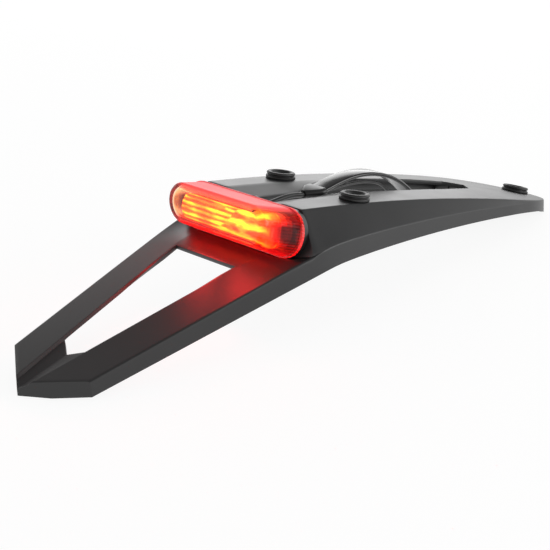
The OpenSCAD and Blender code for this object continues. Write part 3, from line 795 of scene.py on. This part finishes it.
acrylic = Shader("red_acrylic", Transmission_Weight=1.0, IOR=1.3, Specular_IOR_Level=0.15,
                 Emission_Strength=1.0, Coat_Weight=0.05)
ls, ly, lv = lamp_axes(acrylic)
reach = acrylic.math("ABSOLUTE", ly)
core = acrylic.band(lv, -25, -17, -3.5, -0.6) * acrylic.band(ly, -43, -38, 38, 46)
flute = wave_of(acrylic, lv, FLUTE_PITCH)
ends = acrylic.smooth(reach, 40.5, 42.5)
# Painted shade: a dark patch in the middle of each end wall, in both glow and tint, stands in for the dark
# inside seen through it.
painted_shade_patch = ends * acrylic.band(lv, -20, -17, -10, -7) * (1 - acrylic.smooth(reach, 46.8, 47.6))
upper = acrylic.smooth(lv, -4, -0.8)
rim = acrylic.smooth(reach, 47.7, 48.6) * (1 - acrylic.smooth(ls, 7.4, 8.6))
tone = acrylic.mix(upper, (0.26, 0.004, 0.005), (0.22, 0.018, 0.026))
tone = acrylic.mix(ends * (0.35 + 0.65 * flute), tone, (0.05, 0.003, 0.003))
tone = acrylic.mix(painted_shade_patch * 0.85, tone, (0.02, 0.004, 0.004))
tone = acrylic.mix(core, tone, (0.02, 0.001, 0.0))
tone = acrylic.mix(rim * 0.5, tone, (0.42, 0.05, 0.05))
tint = acrylic.mix(core, (0.80, 0.045, 0.04), (1.0, 0.80, 0.52))
acrylic.set(Base_Color=acrylic.mix(painted_shade_patch * 0.9, tint, (0.10, 0.008, 0.008)), Emission_Color=tone,
            Roughness=0.07 + 0.42 * upper)
acrylic.bump(flute * ends + acrylic.noise(2.6, 2) * 0.25, 0.25, 0.6)
lens = add_piece("lens_cup", lens_rings, capped(lens_rings), acrylic.material, "red_lens",
                 replaces=["lamp_lens"])
lens.data.set_sharp_from_angle(angle=math.radians(40))
print("lens:", len(lens.data.polygons), "faces")

# %% [markdown]
# ## Inside the lamp
# A clear optic with round ends covers the reflector tray. It takes the light of the LED chips and sends it
# out through long ribs: dense ones on the left half, and a few broad ones on the right half, which are
# divided from the left by a slanted line. The light is brightest in the middle and breaks up in patches.
# Pale pink arcs on its near round end are painted highlights.

# %% Optic material
FINE_PITCH, BROAD_PITCH = 3.1, 7.5
amber = Shader("amber_optic", Transmission_Weight=0.35, IOR=1.45, Roughness=0.12, Emission_Strength=1.5)
_, oy, ov = lamp_axes(amber)
slant = amber.smooth(oy + (ov + LAMP_MIDDLE) * 0.9, -3, -1)
ribs = wave_of(amber, ov + 0.6, FINE_PITCH) * slant + wave_of(amber, ov + 1.5, BROAD_PITCH) * (1 - slant)
spark = amber.noise(5.5, 3, (1, 0.5, 1.6))
middle = 1 - amber.smooth(amber.math("ABSOLUTE", oy + 4), 8, 30)
heat = amber.smooth(spark * 1.05 + ribs * 0.40 + middle * 0.14, 0.56, 1.16)
bar = amber.band(ov, -10.6, -10.1, -8.2, -7.7) * amber.band(oy, 2, 3, 27, 31)
cheek = 1 - amber.smooth(oy, -38, -31)
# Painted highlight: pale pink arcs on the optic's near round end stand in for reflections on it.
painted_highlight_arcs = amber.smooth(amber.noise(3.2, 2, (1, 1, 0.6)), 0.55, 0.68)
fiery = amber.mix(amber.smooth(heat, 0.0, 0.45), (0.42, 0.012, 0.004), (1.0, 0.17, 0.012))
fiery = amber.mix(amber.smooth(heat, 0.4, 0.85), fiery, (1.0, 0.52, 0.02))
fiery = amber.mix(bar * 0.85, fiery, (0.5, 0.008, 0.004))
fiery = amber.mix(cheek * 0.85, fiery, (0.30, 0.012, 0.010))
fiery = amber.mix(cheek * painted_highlight_arcs * 0.8, fiery, (1.0, 0.42, 0.36))
amber.set(Base_Color=amber.mix(heat, (1.0, 0.30, 0.10), (1.0, 0.75, 0.35)), Emission_Color=fiery)
amber.bump(ribs * 0.6 + spark * 0.4, 0.5, 0.7)
print("optic material:", len(amber.tree.nodes), "nodes")

# %% [markdown]
# The optic itself is a low oval cover, and the ribs on it are half-round bars.

# %% Optic and ribs
OPTIC_FRONT = 16.7
RIB_SLOPE = 1.2
# first y, last y, v, half width, rise
BARS = [(3, 36, -8.2, 0.8, 1.3), (2, 37, -10.7, 0.8, 1.3), (0, 37.5, -13.4, 0.9, 1.4),
        (-2, 37, -16, 0.9, 1.4), (-4, 36, -18.6, 0.9, 1.3), (-30, 1, -8.6, 1.5, 1.1),
        (-33, -3, -13.2, 1.6, 1.2), (-30, -6, -18, 1.5, 1.1)]


def rib(y0, y1, v, half_width, rise):
    """A half-round bar on the optic from y0 to y1, rise tall, with sloping ends."""
    arc = np.linspace(0, math.pi, 9)[None, :]
    y = np.array([y0, y0 + RIB_SLOPE, y1 - RIB_SLOPE, y1])[:, None]
    tall = np.array([0.05, 1, 1, 0.05])[:, None] * rise
    return in_lamp(OPTIC_FRONT + tall * np.sin(arc), y, v + half_width * np.cos(arc))


optic_rings = np.stack([lamp_ring(*r) for r in (
    (13.5, 20.5, 0.1, -13.95), (13.5, 39.3, 17.1, -5.45), (14.5, 40.5, 19.5, -4.25),
    (15.3, 40.5, 19.5, -4.25), (16.0, 40.1, 18.7, -4.65), (16.4, 39.4, 17.3, -5.35),
    (16.8, 37.7, 13.9, -7.05), (16.8, 31, 0.1, -13.95))])
optic = add_piece("optic_cover", optic_rings, capped(optic_rings), amber.material, "light_guide",
                  replaces=["light_guide"])
optic.data.set_sharp_from_angle(angle=math.radians(35))
rib_bars = add_piece("optic_ribs", *joined([rib(*b) for b in BARS]), amber.material, "light_guide")
rib_bars.data.set_sharp_from_angle(angle=math.radians(50))
print("optic faces:", len(optic.data.polygons), "rib faces:", len(rib_bars.data.polygons))

# %% [markdown]
# ## Small hard parts
# The chrome tray, the circuit board, its chips, the screws and the lead's fittings keep the solids of the
# CAD model. Each gets its own finish, and the tray's amber glow is painted LED light.

# %% Finishes of the small parts
chrome, patch = mottled("metallised_tray_painted_glow", (7, 2), (0.80, 0.62, 0.45), (0.92, 0.88, 0.84), 0.12, 0.15,
                        Metallic=0.9, Emission_Strength=0.6)
# Painted light: the tray's amber glow in patches stands in for the LED light it reflects.
chrome.set(Emission_Color=chrome.mix(chrome.smooth(patch, 0.35, 0.7), (0.5, 0.03, 0.01), (1.0, 0.30, 0.02)))

chip = Shader("led_chip", Roughness=0.4, Emission_Strength=9.0)
speck = chip.noise(1.5)
chip.set(Emission_Color=chip.mix(speck, (1.0, 0.42, 0.03), (1.0, 0.66, 0.12)),
         Base_Color=chip.mix(speck, (0.8, 0.6, 0.1), (0.9, 0.8, 0.3)))

board, _ = mottled("white_board", (0.9, 2), (0.62, 0.61, 0.56), (0.74, 0.73, 0.69), 0.35, 0.2,
                   Specular_IOR_Level=0.4)
ceramic, _ = mottled("brown_ceramic", (0.7, 3), (0.03, 0.02, 0.014), (0.07, 0.05, 0.035), 0.3, 0.25,
                     Specular_IOR_Level=0.4)
steel, brushed = mottled("zinc_steel", (1.2, 4, (1, 4, 4)), (0.52, 0.53, 0.55), (0.70, 0.71, 0.73),
                         0.22, 0.2, Metallic=1.0)
steel.bump(brushed, 0.02, 0.4)
seal_rubber, _ = mottled("grey_seal", (4, 3), (0.030, 0.030, 0.030), (0.05, 0.05, 0.05), 0.6, 0.2,
                         Specular_IOR_Level=0.35)
print("materials so far:", len(bpy.data.materials))

# %% [markdown]
# The parts are merged copies of the CAD nodes, so that their round faces can be shaded smooth. A few soft
# parts also get a small bevel.

# %% Dress the small parts
# name, finish, slot, bevel
SMALL = [("lamp_base", satin, "lamp_base", 0), ("lamp_seal", seal_rubber, "seal", 0),
         ("led_board", board, "board", 0), ("led_chips", chip, "chips", 0),
         ("board_parts", ceramic, "board_parts", 0), ("reflector", chrome, "reflector", 0),
         ("lamp_screw_left", steel, "screw", 0), ("lamp_screw_right", steel, "screw", 0),
         ("lead_grommet", rubber, "lead_rubber", 0), ("grommet_left", rubber, "grommet", 0.15),
         ("grommet_right", rubber, "grommet", 0.15), ("grommet_front", rubber, "grommet", 0.15),
         ("lead_boot", satin, "boot", 0.2), ("lead_connector", satin, "connector", 0.2),
         ("connector_cap", satin, "connector_cap", 0.2), ("lead_clip", satin, "clip", 0)]


def dress(name, finish, bevel):
    """A merged copy of a CAD node that stands in for it, with its finish and smooth round faces."""
    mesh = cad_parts[name].data.copy()
    mesh.name = name + "_dressed"
    mesh.materials.clear()
    mesh.materials.append(finish.material)
    piece = add_object(name + "_dressed", mesh)
    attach(piece, "root")
    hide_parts(name)
    return settle(piece, bevel=bevel, angle=38, merge=0.005)


dressed = {name: dress(name, finish, bevel) for name, finish, slot, bevel in SMALL}
print("dressed:", len(dressed))

# %% [markdown]
# ## The cords' table
# The loop below only runs over the cords' table and works out each width in metres; nothing is kept.

for name, y, width, _, _, _, far_end, stiffness, carried in CORDS:
    width * MM

# %% [markdown]
# ## Finishes of the solids
# The CAD nodes themselves get the finish of the piece that stands in for them, so none is left bare.

# %% CAD nodes take their finishes
FINISHES = {"fender_moulding": moulded, "lamp_lens": acrylic, "light_guide": amber, "flat_sleeve": glossy,
            "lamp_lead": satin, "thin_wire": satin, "lead_tail": satin}
FINISHES.update({name: finish for name, finish, _, _ in SMALL})
for name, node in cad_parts.items():
    node.data.materials.clear()
    node.data.materials.append(FINISHES.get(name, satin).material)
print("pieces without a finish of their own:", [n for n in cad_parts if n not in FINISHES])

# %% [markdown]
# ## Floor
# The object stands on white paper. Where the camera, a reflection or a ray through the lens meets it,
# most of its white is a glow of its own, so the picture's ground stays even and a faint shadow still shows.

# %% Paper
HALF_FLOOR = 6000
paper = Shader("white_paper", Base_Color=(0.8, 0.8, 0.8, 1), Roughness=0.9)
glow = paper.result("ShaderNodeEmission", {}, {"Color": (1, 1, 1, 1), "Strength": 1.12})
rays = paper.node("ShaderNodeLightPath", {}, {}).outputs
seen = paper.math("MAXIMUM", Value(paper, rays["Is Camera Ray"]), Value(paper, rays["Is Glossy Ray"]))
seen = paper.math("MAXIMUM", seen, Value(paper, rays["Is Transmission Ray"]))
plain = Value(paper, paper.bsdf.outputs[0])
blend = paper.node("ShaderNodeMixShader", {}, {0: seen * 0.8, 1: plain, 2: glow})
paper.tree.links.new(blend.outputs[0], paper.out.inputs[0])
floor_corners = [(x * HALF_FLOOR, y * HALF_FLOOR, 0) for x, y in ((-1, -1), (1, -1), (1, 1), (-1, 1))]
floor_mesh = make_mesh("floor", floor_corners, [(0, 1, 2, 3)])
floor_mesh.materials.append(paper.material)
made = add_object("floor", floor_mesh)
print("floor:", 2 * HALF_FLOOR * MM, "m wide")

# %% [markdown]
# ## World
# The white room is bright near the horizon and dim overhead, so upright faces get a soft light and the top
# stays dark. The camera and the rays through the lens see it as plain white.

# %% Room
HORIZON, OVERHEAD = 1.5, 0.32
world = bpy.data.worlds.new("studio")
world.use_nodes = True
room = Nodes(world.node_tree)
rays = room.node("ShaderNodeLightPath", {}, {}).outputs
direction = room.result("ShaderNodeTexCoord", {}, {}, "Generated")
height = room.result("ShaderNodeSeparateXYZ", {}, {0: direction}, "Z")
dim = room.smooth(height, 0.02, 0.62, HORIZON, OVERHEAD)
direct = room.math("MAXIMUM", Value(room, rays["Is Camera Ray"]), Value(room, rays["Is Transmission Ray"]))
strength = room.result("ShaderNodeMix", {}, {0: direct, 2: dim, 3: 1.0})
back = room.tree.nodes["Background"]
back.inputs["Color"].default_value = (1, 1, 1, 1)
room.tree.links.new(strength.socket, back.inputs["Strength"])
bpy.context.scene.world = world
print("world:", world.name)

# %% [markdown]
# ## Lights
# Two soft lights ahead of the object, one on each side, give the long highlights. Two small red ones, which
# the camera can't see, throw the lamp's light on the tail.

# %% Lights
RED = (1.0, 0.02, 0.02)


def softbox(name, place, target, size, power, tint=(1, 1, 1)):
    """A square light at place, size metres wide, that faces target."""
    data = bpy.data.lights.new(name, "AREA")
    data.shape = "SQUARE"
    data.size = size
    data.energy = power
    data.color = tint
    made = add_object(name, data)
    made.location = place
    made.rotation_mode = "QUATERNION"
    made.rotation_quaternion = (Vector(target) - Vector(place)).to_track_quat("-Z", "Y")
    return made


softbox("key", (1.15, 1.1, 0.42), (0.1, 0, 0.03), 0.9, 4)
softbox("side", (0.75, -1.1, 0.3), (0.08, 0, 0.03), 0.8, 6.5)
for y, power in ((0.02, 0.05), (-0.025, 0.032)):
    red = softbox("lamp_glow", (-0.078, y, 0.066), (-0.115, y * 1.2, 0.02), 0.03, power, RED)
    red.visible_camera = red.visible_transmission = False
bpy.context.scene.view_settings.view_transform = "Standard"
print("lights:", len(bpy.data.lights))
